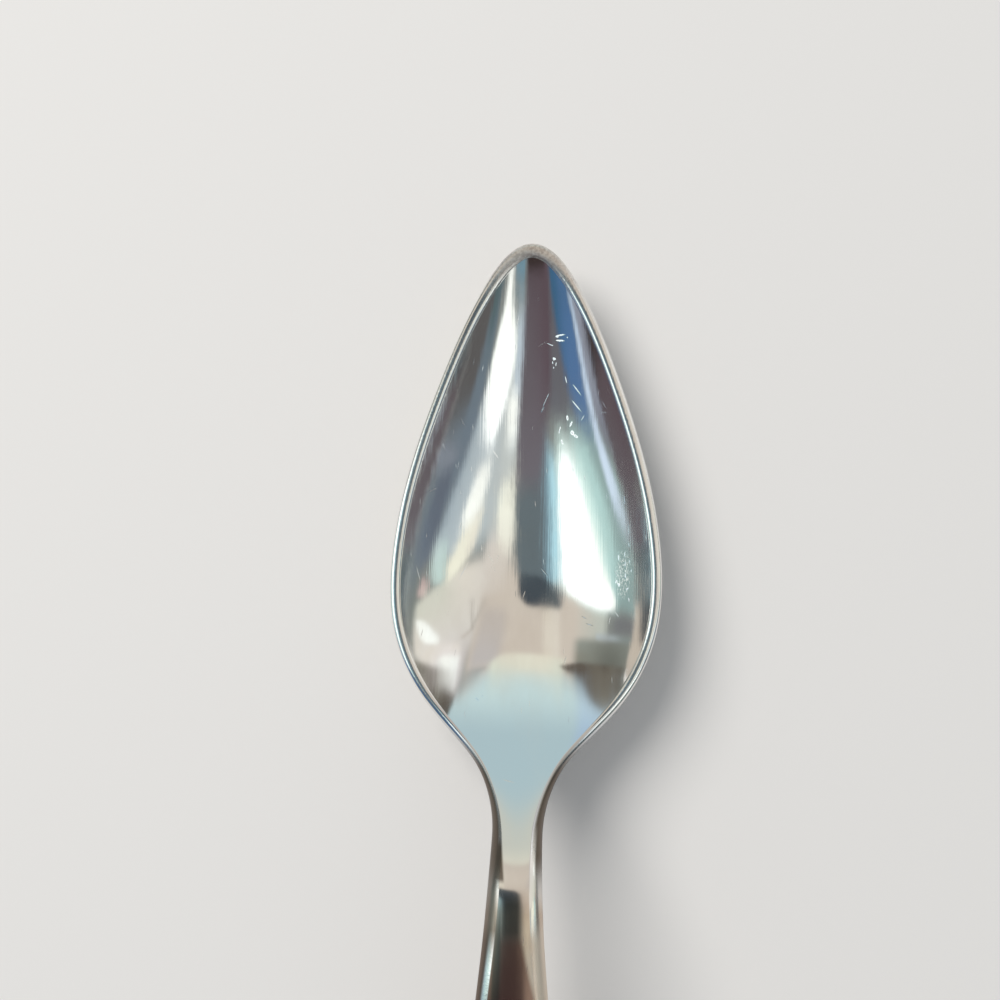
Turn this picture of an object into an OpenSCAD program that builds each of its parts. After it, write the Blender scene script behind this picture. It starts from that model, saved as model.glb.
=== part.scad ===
// Grapefruit spoon with a pointed bowl, in millimetres.
// The spoon lies on the table at z = 0, its tip toward +Y and its hollow up.

/* [Bowl] */
// Length of the bowl from its tip to the neck
bowl_length = 50; // [40:1:62]
// Width of the bowl over its rim
bowl_width = 27; // [22:0.5:34]
// Rise of the hollow from its floor to the outer line of the rim
bowl_rise = 7.4; // [5:0.1:10]
// Thickness of the metal at the bowl's floor
bowl_wall = 1.1; // [0.8:0.05:1.8]
// Height of the tip's underside over the table
tip_height = 5.9; // [4:0.1:8]
// Width of the rounded rim, seen from above
rim_width = 1.08; // [0.8:0.02:1.5]
// Height of the rim's rounding over its outermost line
rim_height = 0.62; // [0.45:0.01:0.9]

/* [Neck] */
// Length of the neck
neck_length = 16; // [12:0.5:22]
// Width of the neck where it is narrowest
neck_width = 5; // [4:0.1:7]
// Thickness of the neck
neck_thickness = 3.2; // [2.6:0.1:4.2]

/* [Stem] */
// Length of the stem, from the neck to the handle's end piece
stem_length = 46; // [36:1:60]
// Width of the stem where the end piece begins
stem_width = 13; // [10:0.5:16]
// Thickness of the stem half way along
stem_thickness = 2.75; // [2.2:0.05:3.6]
// Height of the stem's underside over the table at the top of its arch
arch_height = 14.8; // [12:0.1:18]

/* [Handle end] */
// Length of the handle's end piece
end_length = 38; // [30:1:48]
// Width of the handle's end piece at its widest
end_width = 16.4; // [13:0.2:21]
// Thickness of the handle's end piece
end_thickness = 2.1; // [1.7:0.05:2.8]
// How much higher the handle's middle line stands than its sides
crown_height = 0.43; // [0.2:0.01:0.7]
// Width of the rounding along the handle's sides
side_round = 0.95; // [0.7:0.05:1.3]

/* [Underside] */
// How far the rounding of every edge reaches in under the metal
edge_foot = 0.35; // [0.25:0.01:0.5]
// Least height of that rounding
edge_drop = 0.25; // [0.15:0.01:0.4]
// Depth to which use has worn the underside flat where it rests
rest_flat_depth = 0.06; // [0.03:0.01:0.12]

/* [Hidden] */

// Each row of a table is one station, counted from the tip toward the handle's end.
// Its shares are of: the zone's length, half its width, the height of the underside,
// the rise from middle line to side, the thickness, the rim or rounding seen from above,
// the turn of that rounding in degrees, and the rounding's height.
front_shares = [
    [0.00, 0.000, 1.000, 0.000, 1.68, 1.34, 140, 1.00],
    [0.04, 0.244, 0.898, 0.142, 1.32, 1.20, 143, 1.00],
    [0.09, 0.360, 0.754, 0.304, 1.14, 1.11, 146, 1.00],
    [0.15, 0.476, 0.580, 0.473, 1.02, 1.04, 148, 1.00],
    [0.22, 0.586, 0.398, 0.635, 1.00, 1.00, 150, 1.00],
    [0.30, 0.699, 0.229, 0.777, 1.00, 1.00, 150, 1.00],
    [0.38, 0.801, 0.110, 0.878, 1.00, 1.00, 150, 1.00],
    [0.46, 0.887, 0.034, 0.946, 1.00, 1.00, 150, 1.00],
    [0.54, 0.953, 0.000, 0.986, 1.00, 1.00, 150, 1.00],
    [0.62, 0.994, 0.000, 1.007, 1.00, 1.00, 150, 1.00],
];
heel_shares = [
    [0.69, 1.007, 0.016, 1.000, 1.00, 1.00, 150, 1.00],
    [0.76, 0.987, 0.059, 0.946, 1.02, 1.00, 148, 1.03],
    [0.82, 0.926, 0.124, 0.838, 1.07, 1.00, 142, 1.12],
    [0.87, 0.843, 0.211, 0.676, 1.16, 0.98, 132, 1.25],
    [0.92, 0.724, 0.306, 0.446, 1.29, 0.92, 118, 1.40],
    [0.97, 0.550, 0.402, 0.226, 1.50, 0.80, 100, 1.60],
];
neck_shares = [
    [0.063, 1.880, 0.493, 0.095, 0.62, 0.28, 84, 0.36],
    [0.219, 1.275, 0.577, 0.034, 0.77, 0.29, 73, 0.43],
    [0.406, 0.940, 0.682, 0.000, 0.91, 0.35, 66, 0.50],
    [0.563, 0.955, 0.780, -0.018, 0.97, 0.42, 64, 0.53],
    [0.688, 0.985, 0.857, -0.038, 1.00, 0.45, 64, 0.52],
    [0.813, 1.020, 0.909, -0.058, 1.01, 0.45, 66, 0.48],
];
stem_shares = [
    [0.011, 0.424, 0.946, 1.180, 1.170, 1.17, 70, 0.49],
    [0.098, 0.480, 0.973, 1.380, 1.150, 1.12, 73, 0.46],
    [0.217, 0.564, 0.994, 1.460, 1.120, 1.08, 75, 0.43],
    [0.370, 0.664, 1.003, 1.440, 1.060, 1.04, 77, 0.40],
    [0.543, 0.766, 0.973, 1.340, 0.995, 1.01, 79, 0.38],
    [0.728, 0.870, 0.886, 1.210, 0.940, 1.00, 80, 0.36],
    [0.913, 0.977, 0.760, 1.100, 0.890, 1.00, 81, 0.35],
];
end_shares = [
    [0.132, 0.860, 0.584, 1.04, 1.12, 1.00, 81, 0.43],
    [0.342, 0.930, 0.405, 1.02, 1.07, 1.00, 81, 0.40],
    [0.526, 0.985, 0.245, 1.00, 1.04, 1.00, 81, 0.38],
    [0.684, 1.020, 0.114, 0.98, 1.01, 1.00, 81, 0.37],
    [0.803, 0.975, 0.045, 0.88, 0.98, 1.00, 81, 0.36],
    [0.895, 0.810, 0.010, 0.65, 0.96, 1.00, 82, 0.36],
    [0.961, 0.535, 0.000, 0.33, 0.94, 1.00, 84, 0.36],
    [1.000, 0.000, 0.000, 0.00, 0.93, 1.00, 88, 0.36],
];
// Where a station keeps each of its values once the shares are worked out.
// The half width is kept as its square.
place_index = 0;
width_index = 1;
underside_index = 2;
rise_index = 3;
thickness_index = 4;
band_index = 5;
turn_index = 6;
height_index = 7;

// The hollow deepens as a square and a fourth power of the distance from the middle line
hollow_fourth_power_share = 0.3;
// The underside's power of that distance
underside_power = 2.4;

// Near both ends the ribs fan out from the middle line: how far in the end rib starts,
// as a share of the width there, and how far along the fan reaches
tip_fan_share = 0.185;
tip_fan_reach_share = 0.74;
end_fan_share = 0.32;
end_fan_reach_share = 1.22;

// Facets across half the hollow, round half an edge, and along each zone
across_steps = 10;
round_steps = 4;
bowl_steps = 44;
neck_steps = 10;
stem_steps = 14;
end_steps = 26;
// How closely ribs crowd toward the two rounded ends
tip_crowding_share = 0.12;
end_crowding_share = 0.16;

neck_start = bowl_length;
stem_start = neck_start + neck_length;
end_start = stem_start + stem_length;
overall_length = end_start + end_length;

function rows(shares, start, units) = [
    for (row = shares)
        [for (k = [0:len(units) - 1]) (k == place_index ? start : 0) + row[k] * units[k]]
];

named_stations = concat(
    rows(front_shares, 0, [
        bowl_length, bowl_width / 2, tip_height, bowl_rise, bowl_wall, rim_width, 1, rim_height
    ]),
    rows(heel_shares, 0, [
        bowl_length, bowl_width / 2, arch_height, bowl_rise, bowl_wall, rim_width, 1, rim_height
    ]),
    rows(neck_shares, neck_start, [
        neck_length, neck_width / 2, arch_height, bowl_rise, neck_thickness, neck_width / 2, 1,
        neck_thickness
    ]),
    rows(stem_shares, stem_start, [
        stem_length, stem_width / 2, arch_height, -crown_height, stem_thickness, side_round, 1,
        stem_thickness
    ]),
    rows(end_shares, end_start, [
        end_length, end_width / 2, arch_height, -crown_height, end_thickness, side_round, 1,
        end_thickness
    ])
);
// The outline is smoothed as the square of the half width, which makes both ends round
stations = [
    for (row = named_stations)
        [for (k = [0:len(row) - 1]) k == width_index ? row[k] * row[k] : row[k]]
];
last = len(stations) - 1;
// One row is added beyond each end, so that the smooth curve starts and stops there
curve = concat(
    [2 * stations[0] - stations[1]],
    stations,
    [2 * stations[last] - stations[last - 1]]
);

// Smooth curve through the stations: t counts stations from the tip
function station(t) =
    let (i = min(floor(t), last - 1), v = t - i, w = 1 - v)
    [pow(w, 3), pow(1 + w, 3) - 4 * pow(w, 3), pow(1 + v, 3) - 4 * pow(v, 3), pow(v, 3)] / 6
        * [for (k = [0:3]) curve[i + k]];
// How fast each column changes with t
function station_rate(t) =
    let (i = min(floor(t), last - 1), v = t - i, w = 1 - v)
    [-w * w, 4 * w * w - pow(1 + w, 2), pow(1 + v, 2) - 4 * v * v, v * v] / 2
        * [for (k = [0:3]) curve[i + k]];
// The t of a place along the spoon, found by halving
halving_steps = 26;
function count_at(place, low = 0, high = last, n = halving_steps) =
    let (middle = (low + high) / 2)
    n == 0 ? middle
    : station(middle)[place_index] < place ? count_at(place, middle, high, n - 1)
    : count_at(place, low, middle, n - 1);
function station_at(place) = station(count_at(place));

// Height of the inside or upper face, x from the middle line
function upper_face(x, here) =
    let (
        nearness = x == 0 ? 0 : min(1, x * x / here[width_index]),
        fourth = hollow_fourth_power_share
    )
    here[underside_index] + here[thickness_index] - rest_flat_depth
        + here[rise_index] * nearness * (1 - fourth + fourth * nearness);
// Height of the underside on the middle line, before it is worn flat
function middle_underside(here) = here[underside_index] - rest_flat_depth;

// Where the rib that starts at a place on the outline meets the middle line
function fan(distance, depth, reach) =
    depth * pow(max(0, 1 - distance / reach), 3);
function middle_place(place) =
    place
    + fan(place, tip_fan_share * bowl_width, tip_fan_reach_share * bowl_width)
    - fan(
        overall_length - place,
        end_fan_share * end_width,
        end_fan_reach_share * end_width
    );

// One rib, from the middle of the upper face over the edge to the middle of the underside
function rib(place) =
    let (
        t = count_at(place),
        here = station(t),
        rate = station_rate(t),
        outline = [sqrt(max(0, here[width_index])), place],
        middle = [0, middle_place(place)],
        run = norm(middle - outline),
        inward = (middle - outline) / run,
        tangent = [rate[width_index] / rate[place_index], 2 * outline[0]],
        squareness = abs(inward * [-tangent[1], tangent[0]]) / norm(tangent),
        band = here[band_index] / squareness,
        foot = edge_foot / squareness,
        height = here[height_index],
        turn = here[turn_index],
        plan = function (d) outline + d * inward,
        top = function (p) upper_face(p[0], station_at(p[1])),
        beneath = function (p) middle_underside(station_at(p[1])),
        crease = top(plan(band)),
        edge = crease - height * sin(turn),
        foot_base = beneath(plan(foot)),
        base_slope = (foot_base - beneath(plan(2 * foot))) / foot,
        pull = underside_power * foot / (run - foot),
        foot_height = (edge - edge_drop + pull * foot_base - foot * base_slope) / (1 + pull),
        foot_slope_height = pull * (foot_height - foot_base) + foot * base_slope
    )
    concat(
        [for (i = [0:across_steps])
            let (p = plan(run + (band - run) * i / across_steps)) [p[0], p[1], top(p)]],
        [for (i = [1:round_steps])
            let (
                angle = turn * (1 - i / round_steps),
                p = plan(band * (1 - cos(angle)) / (1 - cos(turn)))
            )
            [p[0], p[1], edge + height * sin(angle)]],
        [for (i = [1:round_steps])
            let (v = i / round_steps, p = plan(foot * v * v))
            [p[0], p[1],
                edge * (1 - v) * (1 - v)
                + 2 * v * (1 - v) * (foot_height + foot_slope_height)
                + foot_height * v * v]],
        [for (i = [1:across_steps])
            let (
                u = 1 - i / across_steps,
                p = plan(run + (foot - run) * u),
                z = beneath(p) + (foot_height - foot_base) * pow(u, underside_power)
            )
            [p[0], p[1], max(0, z)]]
    );
last_point = 2 * (across_steps + round_steps);

// A rib turned from places along the spoon to the part's own frame, on either side
function in_frame(points, side) =
    [for (p = points) [side * p[0], overall_length / 2 - p[1], p[2]]];

// A closed ring: the right rib, then the left one back again without the middle points
ring_points = 2 * last_point;
function ring(place) =
    let (points = rib(place))
    concat(
        in_frame(points, 1),
        in_frame([for (i = [1:last_point - 1]) points[last_point - i]], -1)
    );
// At a rounded end both sides of the ring are one line, and share its points
function folded(i) = i > last_point ? ring_points - i : i;

// Flat closing face: each point of the upper side is joined to the one below it
function closing_face(first, facing) =
    let (
        right = [for (i = [0:last_point / 2 - 1])
            let (j = last_point - i)
            each [[i, i + 1, j], if (i + 1 != j - 1) [i + 1, j - 1, j]]],
        left = [for (f = right) [for (k = [2:-1:0]) (ring_points - f[k]) % ring_points]]
    )
    [for (f = concat(right, left))
        facing > 0
            ? [first + f[0], first + f[1], first + f[2]]
            : [first + f[2], first + f[1], first + f[0]]];

// A zone of the spoon as one closed skin over its rings
module zone(places, folded_first = false, folded_last = false) {
    count = len(places);
    rings = [for (place = places) ring(place)];
    index = function (i, k)
        let (j = k % ring_points)
        i * ring_points
            + ((i == 0 && folded_first) || (i == count - 1 && folded_last) ? folded(j) : j);
    sides = [
        for (i = [0:count - 2])
        for (j = [0:ring_points - 1])
            let (
                a = index(i, j),
                b = index(i, j + 1),
                c = index(i + 1, j + 1),
                d = index(i + 1, j)
            )
            each [[a, b, c], [a, c, d]]
    ];
    faces = concat(
        sides,
        folded_first ? [] : closing_face(0, -1),
        folded_last ? [] : closing_face((count - 1) * ring_points, 1)
    );
    polyhedron([for (r = rings) each r], faces);
}

// Even places between two ends
function even(start, length, steps) = [for (i = [0:steps]) start + length * i / steps];
// Shares of a length that crowd toward its start, as a rounded end needs
function crowded(steps, crowding) =
    [for (i = [0:steps]) let (q = i / steps) q * q * (1 + crowding) / (q + crowding)];

module bowl() {
    color("silver")
        zone(bowl_length * crowded(bowl_steps, tip_crowding_share), folded_first = true);
}

module neck() {
    color("silver")
        zone(even(neck_start, neck_length, neck_steps));
}

module stem() {
    color("silver")
        zone(even(stem_start, stem_length, stem_steps));
}

module handle_end() {
    shares = crowded(end_steps, end_crowding_share);
    color("silver")
        zone(
            [for (i = [end_steps:-1:0]) overall_length - end_length * shares[i]],
            folded_last = true
        );
}

bowl();
neck();
stem();
handle_end();
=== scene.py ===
import math

import bpy
import numpy as np
from mathutils import Matrix, Vector, noise


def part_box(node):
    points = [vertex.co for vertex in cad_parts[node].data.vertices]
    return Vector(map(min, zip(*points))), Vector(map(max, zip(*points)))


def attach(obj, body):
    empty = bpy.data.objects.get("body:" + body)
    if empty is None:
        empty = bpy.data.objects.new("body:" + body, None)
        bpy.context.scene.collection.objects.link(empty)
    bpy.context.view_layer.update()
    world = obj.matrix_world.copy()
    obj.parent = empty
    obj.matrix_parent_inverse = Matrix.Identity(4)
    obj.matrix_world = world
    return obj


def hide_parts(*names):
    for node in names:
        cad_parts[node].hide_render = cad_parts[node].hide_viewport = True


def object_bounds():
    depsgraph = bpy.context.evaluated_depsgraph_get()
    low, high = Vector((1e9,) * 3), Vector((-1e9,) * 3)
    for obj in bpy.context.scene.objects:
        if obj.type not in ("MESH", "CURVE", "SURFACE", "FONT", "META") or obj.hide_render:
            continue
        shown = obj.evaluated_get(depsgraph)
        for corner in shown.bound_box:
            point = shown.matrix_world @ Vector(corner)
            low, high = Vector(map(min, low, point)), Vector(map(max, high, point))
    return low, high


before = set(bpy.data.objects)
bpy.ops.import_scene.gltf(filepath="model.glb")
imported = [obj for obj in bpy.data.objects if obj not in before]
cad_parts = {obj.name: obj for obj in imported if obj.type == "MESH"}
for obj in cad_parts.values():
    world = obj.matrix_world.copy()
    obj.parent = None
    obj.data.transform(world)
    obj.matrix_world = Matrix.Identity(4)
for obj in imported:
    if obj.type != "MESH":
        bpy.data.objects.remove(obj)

solids_low, solids_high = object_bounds()

# The spoon's sizes, in metres. The zones' lengths are those of the solids.
MM = 0.001


def zone_length(node):
    low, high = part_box(node)
    return high.y - low.y


bowl_length = zone_length("bowl")
neck_length = zone_length("neck")
stem_length = zone_length("stem")
end_length = zone_length("handle_end")
overall_length = bowl_length + neck_length + stem_length + end_length

bowl_width = 27 * MM
bowl_rise = 7.4 * MM
bowl_wall = 1.1 * MM
tip_height = 5.9 * MM
rim_width = 1.08 * MM
rim_height = 0.62 * MM
neck_width = 5 * MM
neck_thickness = 3.2 * MM
stem_width = 13 * MM
stem_thickness = 2.75 * MM
arch_height = 14.8 * MM
end_width = 16.4 * MM
end_thickness = 2.1 * MM
crown_height = 0.43 * MM
side_round = 0.95 * MM
edge_foot = 0.35 * MM
edge_drop = 0.25 * MM
rest_flat_depth = 0.06 * MM

# Each row is one station from the tip toward the handle's end, as in the solids. Its shares
# are of: the zone's length, half its width, the height of the underside, the rise from
# middle line to side, the thickness, the rim or rounding seen from above, the turn of that
# rounding in degrees, and the rounding's height.
front_shares = [
    [0.00, 0.000, 1.000, 0.000, 1.68, 1.34, 140, 1.00],
    [0.04, 0.244, 0.898, 0.142, 1.32, 1.20, 143, 1.00],
    [0.09, 0.360, 0.754, 0.304, 1.14, 1.11, 146, 1.00],
    [0.15, 0.476, 0.580, 0.473, 1.02, 1.04, 148, 1.00],
    [0.22, 0.586, 0.398, 0.635, 1.00, 1.00, 150, 1.00],
    [0.30, 0.699, 0.229, 0.777, 1.00, 1.00, 150, 1.00],
    [0.38, 0.801, 0.110, 0.878, 1.00, 1.00, 150, 1.00],
    [0.46, 0.887, 0.034, 0.946, 1.00, 1.00, 150, 1.00],
    [0.54, 0.953, 0.000, 0.986, 1.00, 1.00, 150, 1.00],
    [0.62, 0.994, 0.000, 1.007, 1.00, 1.00, 150, 1.00],
]
heel_shares = [
    [0.69, 1.007, 0.016, 1.000, 1.00, 1.00, 150, 1.00],
    [0.76, 0.987, 0.059, 0.946, 1.02, 1.00, 148, 1.03],
    [0.82, 0.926, 0.124, 0.838, 1.07, 1.00, 142, 1.12],
    [0.87, 0.843, 0.211, 0.676, 1.16, 0.98, 132, 1.25],
    [0.92, 0.724, 0.306, 0.446, 1.29, 0.92, 118, 1.40],
    [0.97, 0.550, 0.402, 0.226, 1.50, 0.80, 100, 1.60],
]
neck_shares = [
    [0.063, 1.880, 0.493, 0.095, 0.62, 0.28, 84, 0.36],
    [0.219, 1.275, 0.577, 0.034, 0.77, 0.29, 73, 0.43],
    [0.406, 0.940, 0.682, 0.000, 0.91, 0.35, 66, 0.50],
    [0.563, 0.955, 0.780, -0.018, 0.97, 0.42, 64, 0.53],
    [0.688, 0.985, 0.857, -0.038, 1.00, 0.45, 64, 0.52],
    [0.813, 1.020, 0.909, -0.058, 1.01, 0.45, 66, 0.48],
]
stem_shares = [
    [0.011, 0.424, 0.946, 1.180, 1.170, 1.17, 70, 0.49],
    [0.098, 0.480, 0.973, 1.380, 1.150, 1.12, 73, 0.46],
    [0.217, 0.564, 0.994, 1.460, 1.120, 1.08, 75, 0.43],
    [0.370, 0.664, 1.003, 1.440, 1.060, 1.04, 77, 0.40],
    [0.543, 0.766, 0.973, 1.340, 0.995, 1.01, 79, 0.38],
    [0.728, 0.870, 0.886, 1.210, 0.940, 1.00, 80, 0.36],
    [0.913, 0.977, 0.760, 1.100, 0.890, 1.00, 81, 0.35],
]
end_shares = [
    [0.132, 0.860, 0.584, 1.04, 1.12, 1.00, 81, 0.43],
    [0.342, 0.930, 0.405, 1.02, 1.07, 1.00, 81, 0.40],
    [0.526, 0.985, 0.245, 1.00, 1.04, 1.00, 81, 0.38],
    [0.684, 1.020, 0.114, 0.98, 1.01, 1.00, 81, 0.37],
    [0.803, 0.975, 0.045, 0.88, 0.98, 1.00, 81, 0.36],
    [0.895, 0.810, 0.010, 0.65, 0.96, 1.00, 82, 0.36],
    [0.961, 0.535, 0.000, 0.33, 0.94, 1.00, 84, 0.36],
    [1.000, 0.000, 0.000, 0.00, 0.93, 1.00, 88, 0.36],
]
PLACE, WIDTH, UNDERSIDE, RISE, THICKNESS, BAND, TURN, HEIGHT = range(8)

hollow_fourth_power_share = 0.3
underside_power = 2.4
tip_fan = 0.185 * bowl_width
tip_fan_reach = 0.74 * bowl_width
end_fan = 0.32 * end_width
end_fan_reach = 1.22 * end_width


def rows(shares, start, *units):
    table = np.array(shares) * units
    table[:, PLACE] += start
    return table


stations = np.vstack([
    rows(front_shares, 0, bowl_length, bowl_width / 2, tip_height, bowl_rise, bowl_wall,
         rim_width, 1, rim_height),
    rows(heel_shares, 0, bowl_length, bowl_width / 2, arch_height, bowl_rise, bowl_wall,
         rim_width, 1, rim_height),
    rows(neck_shares, bowl_length, neck_length, neck_width / 2, arch_height, bowl_rise,
         neck_thickness, neck_width / 2, 1, neck_thickness),
    rows(stem_shares, bowl_length + neck_length, stem_length, stem_width / 2, arch_height,
         -crown_height, stem_thickness, side_round, 1, stem_thickness),
    rows(end_shares, overall_length - end_length, end_length, end_width / 2, arch_height,
         -crown_height, end_thickness, side_round, 1, end_thickness),
])
# The outline is smoothed as the square of the half width, which makes both ends round
stations[:, WIDTH] **= 2
last = len(stations) - 1
curve = np.vstack([2 * stations[0] - stations[1], stations, 2 * stations[-1] - stations[-2]])


def smooth_row(weights, first):
    """One row of the smooth curve for each place, from the four stations round it."""
    return sum(weight[:, None] * curve[first + k] for k, weight in enumerate(weights))


def split_count(t):
    first = np.clip(np.floor(t).astype(int), 0, last - 1)
    return first, t - first


def station(t):
    first, v = split_count(t)
    w = 1 - v
    weights = [w**3, (1 + w)**3 - 4 * w**3, (1 + v)**3 - 4 * v**3, v**3]
    return smooth_row(weights, first) / 6


def station_rate(t):
    first, v = split_count(t)
    w = 1 - v
    weights = [-w**2, 4 * w**2 - (1 + w)**2, (1 + v)**2 - 4 * v**2, v**2]
    return smooth_row(weights, first) / 2


halving_steps = 40


def count_at(place):
    """The count of stations at each place along the spoon, found by halving."""
    low = np.zeros_like(place)
    high = np.full_like(place, last)
    for _ in range(halving_steps):
        middle = (low + high) / 2
        short = station(middle)[:, PLACE] < place
        low = np.where(short, middle, low)
        high = np.where(short, high, middle)
    return (low + high) / 2


def station_at(place):
    return station(count_at(place))


def upper_face(plan):
    """Height of the hollow or the handle's top at points (across, along) of the plan."""
    here = station_at(plan[:, 1])
    nearness = np.minimum(1, plan[:, 0]**2 / np.maximum(here[:, WIDTH], 1e-12))
    fourth = hollow_fourth_power_share
    return (here[:, UNDERSIDE] + here[:, THICKNESS] - rest_flat_depth
            + here[:, RISE] * nearness * (1 - fourth + fourth * nearness))


def middle_underside(plan):
    return station_at(plan[:, 1])[:, UNDERSIDE] - rest_flat_depth


def fan(distance, depth, reach):
    return depth * np.maximum(0, 1 - distance / reach)**3


def middle_place(place):
    return (place + fan(place, tip_fan, tip_fan_reach)
            - fan(overall_length - place, end_fan, end_fan_reach))


# Points across one rib. Both faces beside the crease have a close row, which keeps it crisp.
face_steps = 34
round_steps = 18
foot_steps = 7
underside_steps = 22
crease_gap = 0.035 * MM
crease_inner = 0.10 * MM
crease_outer = 0.70 * MM
crease_fade = 0.30 * MM

# How soon past the crease the side begins, and how much of the underside counts as side
side_start_share = 0.22
under_side_share = 0.55

# The bowl's rim is filed a little flat on top. The handle's sides are left round.
rim_flatness = 0.26
round_side_turn = 100.0
flat_rim_turn = 140.0


def smoothstep(value):
    value = np.clip(value, 0, 1)
    return value * value * (3 - 2 * value)


def swelled(value, power):
    return np.sign(value) * np.abs(value)**power


def spaced(plan_at, distances, height_at):
    """One column of rib points after another, each with its plan point and height."""
    points = []
    for k, distance in enumerate(distances):
        plan = plan_at(distance)
        points.append(np.column_stack([plan, height_at(k, plan)]))
    return points


def ribs(places):
    """Right-hand ribs as an array (rib, point, x y z), from the middle of the upper face
    over the edge to the middle of the underside, and at each point of a rib how much it
    belongs to the rim and to the spoon's side."""
    t = count_at(places)
    here = station(t)
    rate = station_rate(t)
    outline = np.column_stack([np.sqrt(np.maximum(0, here[:, WIDTH])), places])
    middle = np.column_stack([np.zeros_like(places), middle_place(places)])
    run = np.linalg.norm(middle - outline, axis=1)
    inward = (middle - outline) / run[:, None]
    tangent = np.column_stack([rate[:, WIDTH] / rate[:, PLACE], 2 * outline[:, 0]])
    square = np.abs(inward[:, 1] * tangent[:, 0] - inward[:, 0] * tangent[:, 1])
    square /= np.linalg.norm(tangent, axis=1)
    band = here[:, BAND] / square
    foot = edge_foot / square
    height = here[:, HEIGHT]
    turn = np.radians(here[:, TURN])
    towards_flat = (here[:, TURN] - round_side_turn) / (flat_rim_turn - round_side_turn)
    power = 1 - rim_flatness * smoothstep(towards_flat)

    def plan_at(distance):
        return outline + distance[:, None] * inward

    edge = upper_face(plan_at(band)) - height * np.sin(turn)**power
    full_run = 1 - swelled(np.cos(turn), power)
    foot_base = middle_underside(plan_at(foot))
    base_slope = (foot_base - middle_underside(plan_at(2 * foot))) / foot
    pull = underside_power * foot / (run - foot)
    foot_height = (edge - edge_drop + pull * foot_base - foot * base_slope) / (1 + pull)
    foot_slope_height = pull * (foot_height - foot_base) + foot * base_slope

    face = [run + (band + crease_gap - run) * k / face_steps for k in range(face_steps + 1)]
    face.append(band)
    face_points = spaced(plan_at, face, lambda k, plan: upper_face(plan))

    close = np.minimum(crease_gap / band, 0.5 / round_steps)
    shares = [close] + [np.full_like(band, k / round_steps) for k in range(1, round_steps + 1)]
    angles = [turn * (1 - share) for share in shares]
    round_points = spaced(
        plan_at,
        [band * (1 - swelled(np.cos(angle), power)) / full_run for angle in angles],
        lambda k, plan: edge + height * np.abs(np.sin(angles[k]))**power,
    )

    under = [k / foot_steps for k in range(1, foot_steps + 1)]
    foot_points = spaced(
        plan_at,
        [foot * v**2 for v in under],
        lambda k, plan: (
            edge * (1 - under[k])**2
            + 2 * under[k] * (1 - under[k]) * (foot_height + foot_slope_height)
            + foot_height * under[k]**2
        ),
    )

    back = [1 - k / underside_steps for k in range(1, underside_steps + 1)]
    back_points = spaced(
        plan_at,
        [run + (foot - run) * u for u in back],
        lambda k, plan: (
            middle_underside(plan) + (foot_height - foot_base) * back[k]**underside_power
        ),
    )
    points = np.stack(face_points + round_points + foot_points + back_points, axis=1)
    on_rim = np.zeros(points.shape[1])
    on_rim[len(face_points) - 1:len(face_points) + len(round_points) + foot_steps] = 1
    on_side = np.concatenate([
        np.zeros(len(face_points)),
        smoothstep(np.linspace(0, 1, len(round_points)) / side_start_share),
        np.ones(foot_steps),
        under_side_share + (1 - under_side_share) * np.array(back)**6,
    ])
    return points, on_rim, on_side


# Ribs crowd toward the two rounded ends and stand close round the neck
tip_rib_step = 0.02 * MM
bowl_rib_step = 0.33 * MM
handle_rib_step = 0.5 * MM
end_rib_step = 0.02 * MM
crowding_reach = 5 * MM


def rib_places():
    places = [0.0]
    while places[-1] < overall_length:
        place = places[-1]
        usual = bowl_rib_step if place < bowl_length + 1.5 * neck_length else handle_rib_step
        from_tip = tip_rib_step + place / crowding_reach * bowl_rib_step
        to_end = end_rib_step + (overall_length - place) / crowding_reach * handle_rib_step
        places.append(place + min(usual, from_tip, to_end))
    places = np.array(places)
    return places * overall_length / places[-1]


# Hand finishing leaves the polished faces very slightly uneven
waviness = 0.007 * MM
waviness_length = 5 * MM


def unevenness(x, y):
    return waviness * noise.noise(Vector((x / waviness_length, y / waviness_length, 0)))


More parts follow.
